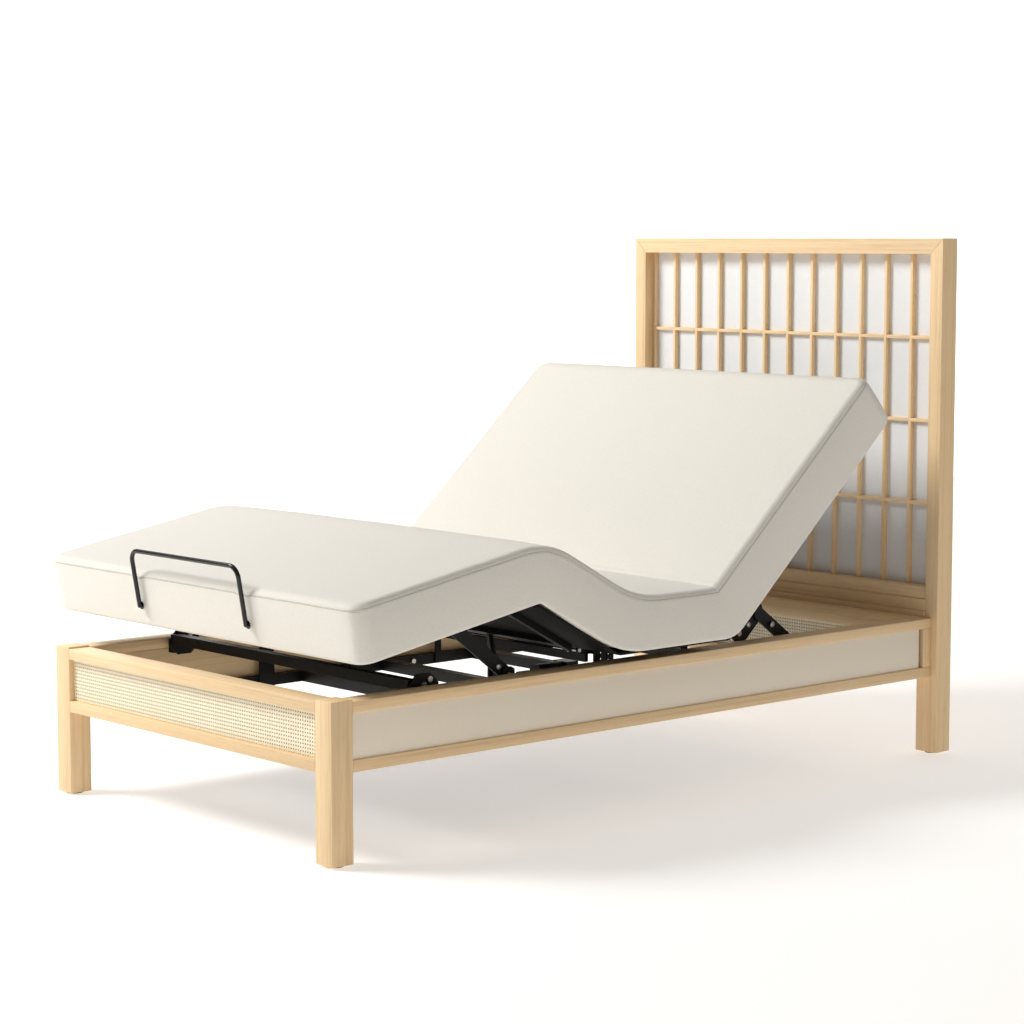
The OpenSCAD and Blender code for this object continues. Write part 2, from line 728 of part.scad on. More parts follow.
leg_foot_left();
leg_foot_right();
leg_glides();
foot_rail_top();
foot_rail_bottom();
foot_cane_panel();
side_rail_top_left();
side_rail_top_right();
side_rail_bottom_left();
side_rail_bottom_right();
side_panel_left();
side_panel_right();
side_board_left();
side_board_right();
side_stile_left();
side_stile_right();
head_ledge();
head_rail_bottom();
head_cane_panel();
headboard_stile_left();
headboard_stile_right();
headboard_top_rail();
headboard_bottom_rail();
headboard_foot_boards();
shoji_panel();
headboard_back();
lattice_verticals();
lattice_horizontals();
chassis_left();
chassis_right();
chassis_cross_tubes();
foot_cross_tube();
foot_bracket_left();
foot_bracket_right();
frame_bolts();
seat_frame();
seat_deck();
hinge_pins();
pad_seat();
foot_drive();
head_drive();
control_box();
foot_carriage();
head_carriage();
back_frame();
back_deck();
stay_plates();
pad_back();
thigh_frame();
thigh_deck();
knee_pins();
pad_thigh();
calf_frame();
calf_deck();
retainer_bar();
pad_calf();
strut_left();
strut_right();
stay_left();
stay_right();
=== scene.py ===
import json
import math

import bmesh
import bpy
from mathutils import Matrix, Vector, noise


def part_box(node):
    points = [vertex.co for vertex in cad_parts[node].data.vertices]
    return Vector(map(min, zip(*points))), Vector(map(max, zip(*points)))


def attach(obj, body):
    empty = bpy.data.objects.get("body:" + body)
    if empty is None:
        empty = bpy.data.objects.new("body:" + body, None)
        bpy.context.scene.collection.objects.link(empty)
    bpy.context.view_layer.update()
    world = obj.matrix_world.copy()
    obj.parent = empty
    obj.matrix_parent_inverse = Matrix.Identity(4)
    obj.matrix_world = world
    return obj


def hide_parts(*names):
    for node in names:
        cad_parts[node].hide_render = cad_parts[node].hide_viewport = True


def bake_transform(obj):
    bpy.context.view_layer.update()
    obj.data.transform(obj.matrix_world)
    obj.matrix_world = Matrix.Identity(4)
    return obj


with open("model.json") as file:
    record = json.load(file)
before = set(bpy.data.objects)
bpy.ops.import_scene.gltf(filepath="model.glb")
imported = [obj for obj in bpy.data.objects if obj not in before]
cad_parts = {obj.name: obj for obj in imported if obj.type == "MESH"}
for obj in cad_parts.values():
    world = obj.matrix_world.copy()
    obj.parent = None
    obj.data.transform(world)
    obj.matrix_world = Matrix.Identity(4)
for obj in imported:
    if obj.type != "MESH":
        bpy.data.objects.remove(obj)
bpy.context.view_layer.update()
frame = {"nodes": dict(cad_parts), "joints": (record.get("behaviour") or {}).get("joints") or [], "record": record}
NODES = frame["nodes"]
JOINTS = {j["name"]: j for j in frame["joints"]}


# ---- materials ------------------------------------------------------------

class Nodes:
    """A small builder for one material's node tree."""

    def __init__(self, name, roughness=0.5, metallic=0.0, sheen=0.0, coat=0.0, specular=0.5):
        self.mat = bpy.data.materials.new(name)
        self.mat.use_nodes = True
        self.tree = self.mat.node_tree
        self.shader = self.tree.nodes["Principled BSDF"]
        self.shader.inputs["Roughness"].default_value = roughness
        self.shader.inputs["Metallic"].default_value = metallic
        self.shader.inputs["Sheen Weight"].default_value = sheen
        self.shader.inputs["Coat Weight"].default_value = coat
        self.shader.inputs["Specular IOR Level"].default_value = specular

    def add(self, kind, **props):
        n = self.tree.nodes.new(kind)
        for k, v in props.items():
            setattr(n, k, v)
        return n

    def link(self, a, b):
        self.tree.links.new(a, b)

    def coords(self, scale=(1, 1, 1), offset=(0, 0, 0), turn=(0, 0, 0)):
        tex = self.add("ShaderNodeTexCoord")
        m = self.add("ShaderNodeMapping")
        m.inputs["Scale"].default_value = scale
        m.inputs["Location"].default_value = offset
        m.inputs["Rotation"].default_value = turn
        self.link(tex.outputs["Object"], m.inputs["Vector"])
        return m.outputs["Vector"]

    def noise(self, vector, scale, detail=4, rough=0.5, distortion=0.0):
        n = self.add("ShaderNodeTexNoise")
        n.inputs["Scale"].default_value = scale
        n.inputs["Detail"].default_value = detail
        n.inputs["Roughness"].default_value = rough
        n.inputs["Distortion"].default_value = distortion
        self.link(vector, n.inputs["Vector"])
        return n.outputs["Fac"]

    def wave(self, vector, scale, distortion, detail, axis):
        n = self.add("ShaderNodeTexWave", bands_direction=axis)
        n.inputs["Scale"].default_value = scale
        n.inputs["Distortion"].default_value = distortion
        n.inputs["Detail"].default_value = detail
        self.link(vector, n.inputs["Vector"])
        return n.outputs["Fac"]

    def ramp(self, fac, stops):
        n = self.add("ShaderNodeValToRGB")
        while len(n.color_ramp.elements) < len(stops):
            n.color_ramp.elements.new(0.5)
        for e, (at, colour) in zip(n.color_ramp.elements, stops):
            e.position = at
            e.color = (*colour, 1) if len(colour) == 3 else colour
        self.link(fac, n.inputs["Fac"])
        return n.outputs["Color"]

    def mix(self, a, b, fac=0.5, mode="MIX"):
        n = self.add("ShaderNodeMix", data_type="RGBA", blend_type=mode)
        if isinstance(fac, float):
            n.inputs["Factor"].default_value = fac
        else:
            self.link(fac, n.inputs["Factor"])
        for socket, value in ((n.inputs["A"], a), (n.inputs["B"], b)):
            if isinstance(value, tuple):
                socket.default_value = (*value, 1)
            else:
                self.link(value, socket)
        return n.outputs["Result"]

    def math(self, op, a, b):
        n = self.add("ShaderNodeMath", operation=op)
        for socket, value in zip(n.inputs, (a, b)):
            if isinstance(value, (int, float)):
                socket.default_value = value
            else:
                self.link(value, socket)
        return n.outputs["Value"]

    def range(self, value, lo, hi):
        n = self.add("ShaderNodeMapRange")
        n.inputs["To Min"].default_value = lo
        n.inputs["To Max"].default_value = hi
        self.link(value, n.inputs["Value"])
        return n.outputs["Result"]

    def colour(self, socket):
        self.link(socket, self.shader.inputs["Base Color"])

    def rough(self, socket, lo, hi):
        self.link(self.range(socket, lo, hi), self.shader.inputs["Roughness"])

    def bump(self, height, distance, strength=1.0):
        n = self.add("ShaderNodeBump")
        n.inputs["Distance"].default_value = distance
        n.inputs["Strength"].default_value = strength
        self.link(height, n.inputs["Height"])
        self.link(n.outputs["Normal"], self.shader.inputs["Normal"])


def oak(name, grain, seed):
    """Pale oiled oak, its straight grain along one axis; the seed moves the board in the log."""
    m = Nodes(name, roughness=0.5, specular=0.35)
    along = "XYZ".index(grain)

    def scaled(across, with_grain):
        s = [across] * 3
        s[along] = with_grain
        return tuple(s)

    shift = (seed * 1.37 % 5, seed * 2.11 % 7, seed * 0.73 % 3)
    broad = m.noise(m.coords(scaled(9, 0.5), shift), 1.0, 3, 0.5, 0.3)
    rings = m.noise(m.coords(scaled(120, 1.6), shift), 1.0, 4, 0.55, 0.5)
    fibre = m.noise(m.coords(scaled(900, 14), shift), 1.0, 3, 0.6)
    base = m.ramp(broad, [(0.3, (0.83, 0.605, 0.35)), (0.7, (0.91, 0.69, 0.43))])
    lines = m.ramp(rings, [(0.34, (0.90, 0.86, 0.79)), (0.5, (1, 1, 1)), (0.75, (1.0, 0.98, 0.95))])
    pores = m.ramp(fibre, [(0.33, (0.88, 0.84, 0.79)), (0.46, (1, 1, 1))])
    m.colour(m.mix(m.mix(base, lines, 1.0, "MULTIPLY"), pores, 1.0, "MULTIPLY"))
    m.rough(rings, 0.42, 0.6)
    m.bump(fibre, 0.00012, 0.6)
    return m.mat


def cane_strand(name):
    m = Nodes(name, roughness=0.5, specular=0.4)
    v = m.coords((60, 60, 60))
    tone = m.noise(v, 1.0, 3)
    fine = m.noise(m.coords((900, 900, 900)), 1.0, 2)
    m.colour(m.ramp(tone, [(0.3, (0.92, 0.83, 0.61)), (0.7, (0.98, 0.91, 0.72))]))
    m.rough(tone, 0.4, 0.6)
    m.bump(fine, 0.0002, 0.5)
    return m.mat


# Dark brown sheet behind the cane strands: painted shade seen through the holes of the weave.
def cane_hole_shade(name):
    m = Nodes(name, roughness=0.8)
    fine = m.noise(m.coords((300, 300, 300)), 1.0, 3)
    m.colour(m.ramp(fine, [(0.3, (0.22, 0.15, 0.08)), (0.7, (0.30, 0.21, 0.12))]))
    m.bump(fine, 0.0002)
    return m.mat


def weave(name, dark, light, pitch, roughness=0.85, sheen=0.3, depth=0.0003, mottling=(26, 0.5)):
    """Woven or knitted cloth: two crossed threads, a soft mottle and slubs."""
    m = Nodes(name, roughness=roughness, sheen=sheen, specular=0.25)
    m.shader.inputs["Sheen Roughness"].default_value = 0.5
    k = 1 / pitch
    a, b, c = (m.wave(m.coords((k, k, k)), 1.0, 0.6, 1, axis) for axis in "XYZ")
    threads = m.math("MULTIPLY", m.math("ADD", m.math("ADD", a, b), c), 0.34)
    mottle_scale, share = mottling
    mottle = m.noise(m.coords((mottle_scale,) * 3), 1.0, 6, 0.62)
    slub = m.noise(m.coords((420, 420, 420)), 1.0, 3, 0.6)
    both = m.math("ADD", m.math("MULTIPLY", mottle, share), m.math("MULTIPLY", slub, 1 - share))
    m.colour(m.ramp(both, [(0.38, dark), (0.62, light)]))
    m.rough(slub, roughness - 0.06, min(1.0, roughness + 0.08))
    m.bump(m.math("ADD", threads, m.math("MULTIPLY", slub, 1.2)), depth, 0.7)
    return m.mat


def paper(name):
    m = Nodes(name, roughness=0.75, specular=0.3)
    fibres = m.noise(m.coords((70, 70, 240)), 1.0, 6, 0.7, 1.2)
    cloud = m.noise(m.coords((6, 6, 6)), 1.0, 3)
    tone = m.math("ADD", m.math("MULTIPLY", fibres, 0.6), m.math("MULTIPLY", cloud, 0.4))
    m.colour(m.ramp(tone, [(0.3, (0.79, 0.81, 0.83)), (0.65, (0.85, 0.865, 0.88))]))
    m.bump(fibres, 0.00015, 0.4)
    return m.mat


def black_steel(name, rough=0.42, level=1.0, specular=0.22):
    m = Nodes(name, roughness=rough, specular=specular)
    grain = m.noise(m.coords((1400, 1400, 1400)), 1.0, 2, 0.6)
    cloud = m.noise(m.coords((18, 18, 18)), 1.0, 4)
    dark, light = 0.003 * level, 0.006 * level
    m.colour(m.ramp(cloud, [(0.3, (dark, dark, dark)), (0.7, (light, light, light * 0.96))]))
    m.rough(cloud, rough - 0.07, rough + 0.1)
    m.bump(grain, 0.00012, 0.6)
    return m.mat


def zinc(name):
    m = Nodes(name, roughness=0.3, metallic=1.0)
    cloud = m.noise(m.coords((160, 160, 160)), 1.0, 4)
    m.colour(m.ramp(cloud, [(0.3, (0.52, 0.52, 0.53)), (0.7, (0.74, 0.74, 0.75))]))
    m.rough(cloud, 0.22, 0.42)
    m.bump(m.noise(m.coords((1500, 1500, 300)), 1.0, 2), 0.00005)
    return m.mat


def moulded(name, shade=0.012, rough=0.55):
    m = Nodes(name, roughness=rough, specular=0.45)
    spark = m.noise(m.coords((1100, 1100, 1100)), 1.0, 2)
    cloud = m.noise(m.coords((40, 40, 40)), 1.0, 3)
    m.colour(m.ramp(cloud, [(0.3, (shade, shade, shade)), (0.7, (shade * 1.7,) * 3)]))
    m.rough(cloud, rough - 0.05, rough + 0.1)
    m.bump(spark, 0.0001, 0.6)
    return m.mat


CANE, HOLE_SHADE = cane_strand("cane"), cane_hole_shade("cane_hole_shade")
LINEN = weave("linen", (0.90, 0.81, 0.67), (0.93, 0.845, 0.705), 0.0016, 0.9, 0.2, 0.0002,
              mottling=(120, 0.3))
PAD = weave("pad_fabric", (0.825, 0.795, 0.72), (0.885, 0.855, 0.785), 0.0017, 0.88, 0.4, 0.0003,
            mottling=(260, 0.6))
# The piping cord is real, but its tone, darker than the pad cover's, is painted shade along the seam.
SHADED_PIPING = weave("piping", (0.60, 0.57, 0.50), (0.70, 0.67, 0.60), 0.0012, 0.85, 0.3, 0.0002)
PAPER = paper("shoji_paper")
STEEL = black_steel("black_steel")
DECK = black_steel("deck_board", 0.6, 0.9, 0.15)
GLOSS = black_steel("gloss_black", 0.22, 0.6, 0.5)
ZINC = zinc("zinc")
PLASTIC = moulded("moulded_plastic")
RUBBER = moulded("rubber", 0.02, 0.8)


# ---- pieces made from CAD nodes -------------------------------------------

def new_object(name, bm, material, smooth=40):
    mesh = bpy.data.meshes.new(name)
    bm.normal_update()
    bm.to_mesh(mesh)
    bm.free()
    mesh.materials.append(material)
    obj = bpy.data.objects.new(name, mesh)
    bpy.context.scene.collection.objects.link(obj)
    if smooth:
        mesh.shade_smooth()
        mesh.set_sharp_from_angle(angle=math.radians(smooth))
    return obj


def eased(node, material, body, width, segments=2):
    """The node's own shape with its edges eased, in place of the node."""
    bm = bmesh.new()
    bm.from_mesh(NODES[node].data)
    bmesh.ops.remove_doubles(bm, verts=bm.verts, dist=1e-6)
    bmesh.ops.dissolve_limit(bm, angle_limit=math.radians(1), verts=bm.verts, edges=bm.edges)
    sharp = [e for e in bm.edges if len(e.link_faces) == 2 and e.calc_face_angle(0) > math.radians(50)]
    bmesh.ops.bevel(bm, geom=sharp, offset=width, segments=segments, profile=0.5, affect="EDGES",
                    clamp_overlap=True)
    obj = new_object("v_" + node, bm, material, 30)
    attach(obj, body)
    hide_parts(node)


def paint(node, material):
    mesh = NODES[node].data
    mesh.materials.clear()
    mesh.materials.append(material)


WOOD = {
    "leg_foot_left": "Z", "leg_foot_right": "Z", "foot_rail_top": "X", "foot_rail_bottom": "X",
    "side_rail_top_left": "Y", "side_rail_top_right": "Y", "side_rail_bottom_left": "Y",
    "side_rail_bottom_right": "Y", "side_board_left": "Y", "side_board_right": "Y",
    "side_stile_left": "Z", "side_stile_right": "Z", "head_ledge": "X", "head_rail_bottom": "X",
    "headboard_stile_left": "Z", "headboard_stile_right": "Z", "headboard_top_rail": "X",
    "headboard_bottom_rail": "X", "headboard_foot_boards": "X", "headboard_back": "Z",
    "lattice_verticals": "Z", "lattice_horizontals": "X",
}
for i, (node, grain) in enumerate(WOOD.items()):
    ease = 0.0006 if node.startswith("lattice") or node == "headboard_back" else 0.0018
    eased(node, oak("oak_" + node, grain, i + 1), "base", ease)

for node in ("side_panel_left", "side_panel_right"):
    eased(node, LINEN, "base", 0.0008)
eased("shoji_panel", PAPER, "base", 0.0005, 1)

BODY_OF = {n: b for b, ns in frame["record"]["behaviour"]["bodies"].items() for n in ns}
for node in NODES:
    if node.startswith(("chassis", "foot_cross", "foot_bracket", "seat_frame", "back_frame", "stay",
                        "thigh_frame", "calf_frame", "strut", "foot_drive", "head_drive",
                        "foot_carriage", "head_carriage", "retainer")):
        paint(node, GLOSS if node == "retainer_bar" else STEEL)
    elif node.endswith("_deck"):
        eased(node, DECK, BODY_OF[node], 0.001)
    elif node.endswith(("_bolts", "_pins")):
        paint(node, ZINC)
paint("control_box", PLASTIC)
paint("leg_glides", RUBBER)


# ---- cane webbing ----------------------------------------------------------

CANE_PITCH = 0.0088
CANE_WIDE = (0.0045, 0.0054)                     # upright strands, level strands
CANE_THICK = 0.0006
CANE_SINK = 0.0012                               # middle of the weave behind the panel's face
CANE_WEAVE = 0.0005                              # how far a strand goes to each side of the middle
HOLE_SHADE_SINK = 0.0019


def cane_panel(name, node):
    """Woven strands over a thin dark sheet that is painted shade for the holes, its face to the foot."""
    lo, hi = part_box(node)
    bm = bmesh.new()

    def ribbon(points, across):
        """A flat strand through the points; across is half its width."""
        rings = []
        for p in points:
            corners = [(-1, -1), (1, -1), (1, 1), (-1, 1)]
            rings.append([bm.verts.new(p + across * a + Vector((0, CANE_THICK / 2 * b, 0)))
                          for a, b in corners])
        for r0, r1 in zip(rings, rings[1:]):
            for k in range(4):
                bm.faces.new((r0[k], r0[(k + 1) % 4], r1[(k + 1) % 4], r1[k]))

    def middles(a, b, n):
        """The two ends and the middles of n even cells between them, numbered from -1."""
        step = (b - a) / n
        return [(-1, a)] + [(i, a + (i + 0.5) * step) for i in range(n)] + [(n, b)]

    nx, nz = round((hi.x - lo.x) / CANE_PITCH), round((hi.z - lo.z) / CANE_PITCH)
    across, upward = middles(lo.x, hi.x, nx), middles(lo.z, hi.z, nz)
    level = lo.y + CANE_SINK
    for i, x in across[1:-1]:
        ribbon([Vector((x, level + CANE_WEAVE * (-1) ** (i + k), z)) for k, z in upward],
               Vector((CANE_WIDE[0] / 2, 0, 0)))
    for k, z in upward[1:-1]:
        ribbon([Vector((x, level - CANE_WEAVE * (-1) ** (i + k), z)) for i, x in across],
               Vector((0, 0, CANE_WIDE[1] / 2)))
    strands = new_object(name, bm, CANE, 60)
    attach(strands, "base")

    # The dark sheet just behind the strands is painted shade showing through the holes.
    bm = bmesh.new()
    bmesh.ops.create_cube(bm, size=1)
    near = (lo.x, lo.y + HOLE_SHADE_SINK, lo.z)
    for v in bm.verts:
        v.co = [a + (c + 0.5) * (b - a) for a, b, c in zip(near, hi, v.co)]
    bmesh.ops.bevel(bm, geom=bm.edges[:], offset=0.0004, segments=1, affect="EDGES")
    hole_shade = new_object(name + "_backing", bm, HOLE_SHADE, 30)
    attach(hole_shade, "base")
    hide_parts(node)


cane_panel("foot_cane", "foot_cane_panel")
cane_panel("head_cane", "head_cane_panel")


# ---- padded platform --------------------------------------------------------

H_BACK = Vector(JOINTS["back_lift"]["pos_m"]).yz
H_THIGH = Vector(JOINTS["thigh_lift"]["pos_m"]).yz
KNEE = Vector(JOINTS["calf_fold"]["pos_m"]).yz
RISE = 0.0084                                   # pads' underside above the hinge plane
HALF_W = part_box("pad_seat")[1].x
CALF_L, BACK_L = 0.526, 0.786
CALF_SLOPE = math.radians(10.1)
BAR_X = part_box("retainer_bar")[1].x
back_a = -math.radians(JOINTS["back_lift"]["range_deg"][0])
thigh_a = -math.radians(JOINTS["thigh_lift"]["range_deg"][0])
D_CALF = Vector((math.cos(CALF_SLOPE), math.sin(CALF_SLOPE)))   # all run to the head
D_THIGH = Vector((math.cos(thigh_a), -math.sin(thigh_a)))
D_SEAT = Vector((1, 0))
D_BACK = Vector((math.cos(back_a), math.sin(back_a)))
FOOT_END = KNEE - D_CALF * CALF_L
HEAD_END = H_BACK + D_BACK * BACK_L


def up(d):
    return Vector((-d.y, d.x))


def meet(p, d, q, e):
    """Where line p + t d meets line q + u e."""
    cross = d.x * e.y - d.y * e.x
    t = ((q.x - p.x) * e.y - (q.y - p.y) * e.x) / cross
    return p + d * t


def corner_line(heights):
    """Corners of the platform's outline at the given heights over each section's hinge line."""
    lines = [(FOOT_END, D_CALF), (KNEE, D_THIGH), (H_THIGH, D_SEAT), (H_BACK, D_BACK)]
    moved = [(p + up(d) * h, d) for (p, d), h in zip(lines, heights)]
    first = FOOT_END + up(D_CALF) * heights[0]
    last = HEAD_END + up(D_BACK) * heights[3]
    return [first] + [meet(*a, *b) for a, b in zip(moved, moved[1:])] + [last]


def rounded(corners, radii, s):
    """The point on the corner line at section station s, 0 to 4, its bends rounded over radii metres."""
    i = min(int(s), 3)
    p = corners[i].lerp(corners[i + 1], s - i)
    for k in (1, 2, 3):
        c, before, after = corners[k], corners[k - 1], corners[k + 1]
        a_len, b_len = (c - before).length, (after - c).length
        past = (s - k) * (b_len if s > k else a_len)
        r = radii[k - 1]
        if abs(past) < r:
            t = (past + r) / (2 * r)
            a = c.lerp(before, r / a_len)
            b = c.lerp(after, r / b_len)
            p = a * (1 - t) ** 2 + c * (2 * t * (1 - t)) + b * t ** 2
    return p


THICK = (0.138, 0.138, 0.131, 0.150)            # calf, thigh, seat, back
EASE_THICK = 0.12                               # each side of a joint where the thickness changes
BENDS_LOW = (0.004, 0.075, 0.040)               # reach of the bends at the knee, thigh and back hinge
BENDS_TOP = (0.085, 0.075, 0.020)
CROWN = 0.005                                   # rise of the top's middle
BELLY = 0.0028                                  # how far the sides swell
CREASE, CREASE_REACH = 0.0035, 0.0045           # in the lap
DENT, DENT_WIDE, DENT_LONG = 0.0042, 0.022, 0.055   # behind each leg of the retainer bar
SEAM_PULL = 0.0022
PIPING_R = 0.0019
SEAM_AT = 0.895                                 # height of the side seam, as a share of the pad
bottom_corners = corner_line([RISE] * 4)
top_corners = corner_line([RISE + t for t in THICK])


def spaced(lo, hi, step, ends=(), fine=0.004):
    """Even positions with closer ones within each of the end bands."""
    n = max(2, round((hi - lo) / step))
    pts = {round(lo + (hi - lo) * i / n, 5) for i in range(n + 1)}
    for a, b in ends:
        m = max(2, round(abs(b - a) / fine))
        pts |= {round(a + (b - a) * i / m, 5) for i in range(m + 1)}
    pts = sorted(pts)
    kept = [pts[0]]
    for p in pts[1:]:
        if p - kept[-1] > 0.0018:
            kept.append(p)
    kept[-1] = pts[-1]
    return kept


SECTION_L = [CALF_L, (H_THIGH - KNEE).length, (H_BACK - H_THIGH).length, BACK_L]
STARTS = [sum(SECTION_L[:i]) for i in range(5)]
TOTAL = STARTS[4]


def station(s):
    """Flat distance from the foot end, as section number and fraction."""
    for i in range(4):
        if s <= STARTS[i + 1] or i == 3:
            return i + (s - STARTS[i]) / SECTION_L[i]


PLAN_FOOT, PLAN_HEAD = 0.040, 0.052             # rounding of the corners seen from above
EDGE_TOP, EDGE_LOW, EDGE_FOOT, EDGE_HEAD = 0.015, 0.008, 0.020, 0.046


def round_box(x, s, b, thick):
    """A point on the flat pad's box, moved to its rounded form. b is the height over the underside."""
    at_head = s > TOTAL / 2
    plan = PLAN_HEAD if at_head else PLAN_FOOT
    d = Vector(((x - max(plan - HALF_W, min(HALF_W - plan, x))) / plan,
                (s - max(plan, min(TOTAL - plan, s))) / plan))
    if d.length < 1e-9:
        return Vector((x, s, b))
    centre = Vector((x, s)) - d * plan
    m = max(abs(d.x), abs(d.y))
    way = d.normalized()
    if b > thick / 2:
        r = EDGE_TOP + ((EDGE_HEAD if at_head else EDGE_FOOT) - EDGE_TOP) * way.y ** 2
        v = (b - thick + r) / r
    else:
        r = EDGE_LOW
        v = (r - b) / r
    u = 1 - plan / r * (1 - m)
    if u > 0 and v > 0:
        k = max(u, v) / math.hypot(u, v)
        m = 1 - r / plan * (1 - u * k)
        b = thick - r + v * k * r if b > thick / 2 else r - v * k * r
    edge = centre + way * m * plan
    return Vector((edge.x, edge.y, b))


# hollows underneath that clear the decks, at the knee, thigh hinge and back hinge: place, depth, reach
RELIEF = ((STARTS[1] - 0.02, 0.0088, 0.085), (STARTS[2], 0.0022, 0.08), (STARTS[3], 0.0028, 0.08))
RELIEF_TOP = 0.3                                # share of the pad's height that the hollows reach into
SKIRT, SKIRT_RAMP = 0.008, 0.010                # width of the side edge left whole, and of its slope


def soft_shape(x, s, b):
    """b from 0 to 1 through the pad. Rounded, crowned and a little uneven, still laid flat."""
    st = station(max(0, min(TOTAL, s)))
    i = min(int(st), 3)
    f = st - i
    t0 = THICK[i]
    near = min(1.0, f * SECTION_L[i] / EASE_THICK) if i else 1.0
    prev = THICK[i - 1] if i else t0
    far = min(1.0, (1 - f) * SECTION_L[i] / EASE_THICK) if i < 3 else 1.0
    nxt = THICK[i + 1] if i < 3 else t0
    thick = t0 + (prev - t0) * 0.5 * (1 - near) + (nxt - t0) * 0.5 * (1 - far)
    p = round_box(x, s, b * thick, thick)
    h = p.z / thick
    across, along = p.x / HALF_W, (p.y / TOTAL) * 2 - 1
    crown = CROWN * (1 - across ** 4) * (1 - along ** 8)
    p.z += crown * max(0.0, h - 0.5) * 2
    body = max(0.0, min(1.0, (h - 0.02) / 0.3)) * max(0.0, min(1.0, (0.86 - h) / 0.2))
    p.x += math.copysign(BELLY * body * min(1.0, abs(across) ** 10), across)
    if h > 0.8:
        p.z -= CREASE * math.exp(-((p.y - STARTS[3]) / CREASE_REACH) ** 2)
        for side in (-1, 1):
            dx = (p.x - side * (BAR_X - 0.012)) / DENT_WIDE
            p.z -= DENT * math.exp(-dx * dx - (p.y / DENT_LONG) ** 2)
    if h < RELIEF_TOP:
        skirt = max(0.0, min(1.0, (HALF_W - SKIRT - abs(p.x)) / SKIRT_RAMP))
        room = sum(depth * math.exp(-((p.y - at) / reach) ** 2) for at, depth, reach in RELIEF)
        p.z += room * skirt * (1 - max(0.0, h) / RELIEF_TOP)
    n = noise.noise(Vector((p.x * 5, p.y * 5, p.z * 5)))
    fine = noise.noise(Vector((p.x * 22 + 9, p.y * 22, p.z * 22)))
    p.z += (0.0011 * n + 0.0004 * fine) * (1 if h > 0.5 else 0.3)
    p.x += 0.0008 * n * min(1.0, abs(across) ** 8)
    return p, thick


def laid(p, thick):
    """From the flat pad's x, length and height to the row frame in the drawn pose."""
    s = station(max(0.0, min(TOTAL, p.y)))
    low = rounded(bottom_corners, BENDS_LOW, s)
    high = rounded(top_corners, BENDS_TOP, s)
    i = min(int(s), 3)
    q = low + (high - low) * (p.z / thick)
    d = (D_CALF, D_THIGH, D_SEAT, D_BACK)[i]
    if p.y < 0:
        q = q + d * p.y
    if p.y > TOTAL:
        q = q + d * (p.y - TOTAL)
    return Vector((p.x, q.x, q.y))


def pad_mesh():
    """The whole platform as one box grid. Returns the mesh in bmesh form and its rows by key."""
    xs = spaced(-HALF_W, HALF_W, 0.028, [(-HALF_W, -HALF_W + 0.03), (HALF_W - 0.03, HALF_W)], 0.003)
    ss = spaced(0, TOTAL, 0.014,
                [(0, 0.045), (TOTAL - 0.055, TOTAL), (STARTS[1] - 0.012, STARTS[1] + 0.012),
                 (STARTS[3] - 0.03, STARTS[3] + 0.03)], 0.0035)
    bs = [0, 0.02, 0.045, 0.075, 0.2, 0.35, 0.5, 0.65, 0.78, 0.85, SEAM_AT - 0.014, SEAM_AT,
          SEAM_AT + 0.014, 0.93, 0.95, 0.97, 0.985, 1]
    bm = bmesh.new()
    grid = {}

    def vert(i, j, k):
        key = (i, j, k)
        if key not in grid:
            grid[key] = bm.verts.new(laid(*soft_shape(xs[i], ss[j], bs[k])))
        return grid[key]

    def face(*keys):
        bm.faces.new([vert(*key) for key in keys])

    nx, ns, nb = len(xs) - 1, len(ss) - 1, len(bs) - 1
    for j in range(ns):
        for i in range(nx):
            face((i, j, nb), (i + 1, j, nb), (i + 1, j + 1, nb), (i, j + 1, nb))
            face((i, j, 0), (i, j + 1, 0), (i + 1, j + 1, 0), (i + 1, j, 0))
        for k in range(nb):
            face((0, j, k), (0, j, k + 1), (0, j + 1, k + 1), (0, j + 1, k))
            face((nx, j, k), (nx, j + 1, k), (nx, j + 1, k + 1), (nx, j, k + 1))
    for i in range(nx):
        for k in range(nb):
            face((i, 0, k), (i + 1, 0, k), (i + 1, 0, k + 1), (i, 0, k + 1))
            face((i, ns, k), (i, ns, k + 1), (i + 1, ns, k + 1), (i + 1, ns, k))
    return bm, grid, xs, ss, bs


bm, grid, xs, ss, bs = pad_mesh()
bm.normal_update()
SEAM_ROW = bs.index(SEAM_AT)
nx, ns = len(xs) - 1, len(ss) - 1
loop_keys = ([(nx, j, SEAM_ROW) for j in range(ns, 0, -1)]
             + [(i, 0, SEAM_ROW) for i in range(nx, 0, -1)]
             + [(0, j, SEAM_ROW) for j in range(0, ns + 1)]
             + [(i, ns, SEAM_ROW) for i in range(1, nx)])
seam_path = [(grid[k].co.copy(), grid[k].normal.copy(), ss[k[1]]) for k in loop_keys]
for k in loop_keys:                              # the seam pulls the cover in
    v = grid[k]
    v.co -= v.normal * SEAM_PULL
bm.normal_update()

CUTS = [(STARTS[1] + STARTS[2]) / 2, (STARTS[2] + STARTS[3]) / 2]
cut_rows = [min(range(len(ss)), key=lambda j: abs(ss[j] - c)) for c in CUTS]
row_of = {v: k[1] for k, v in grid.items()}
PARTS = [("calf", 0, cut_rows[0]), ("thigh", cut_rows[0], cut_rows[1]), ("back", cut_rows[1], ns)]


def part_of(bm, first, last, row_of):
    """The stretch of the pad between two rows, closed at its cuts."""
    part = bmesh.new()
    made = {}
    for f in bm.faces:
        rows = [row_of[v] for v in f.verts]
        end_cap = min(rows) == max(rows)
        if min(rows) >= first and max(rows) <= last and (not end_cap or rows[0] in (0, ns)):
            for v in f.verts:
                if v not in made:
                    made[v] = part.verts.new(v.co)
            part.faces.new([made[v] for v in f.verts])
    bmesh.ops.holes_fill(part, edges=[e for e in part.edges if e.is_boundary], sides=0)
    bmesh.ops.recalc_face_normals(part, faces=part.faces)
    return part


STANDS_FOR = {"calf": ["pad_calf"], "thigh": ["pad_thigh", "pad_seat"], "back": ["pad_back"]}


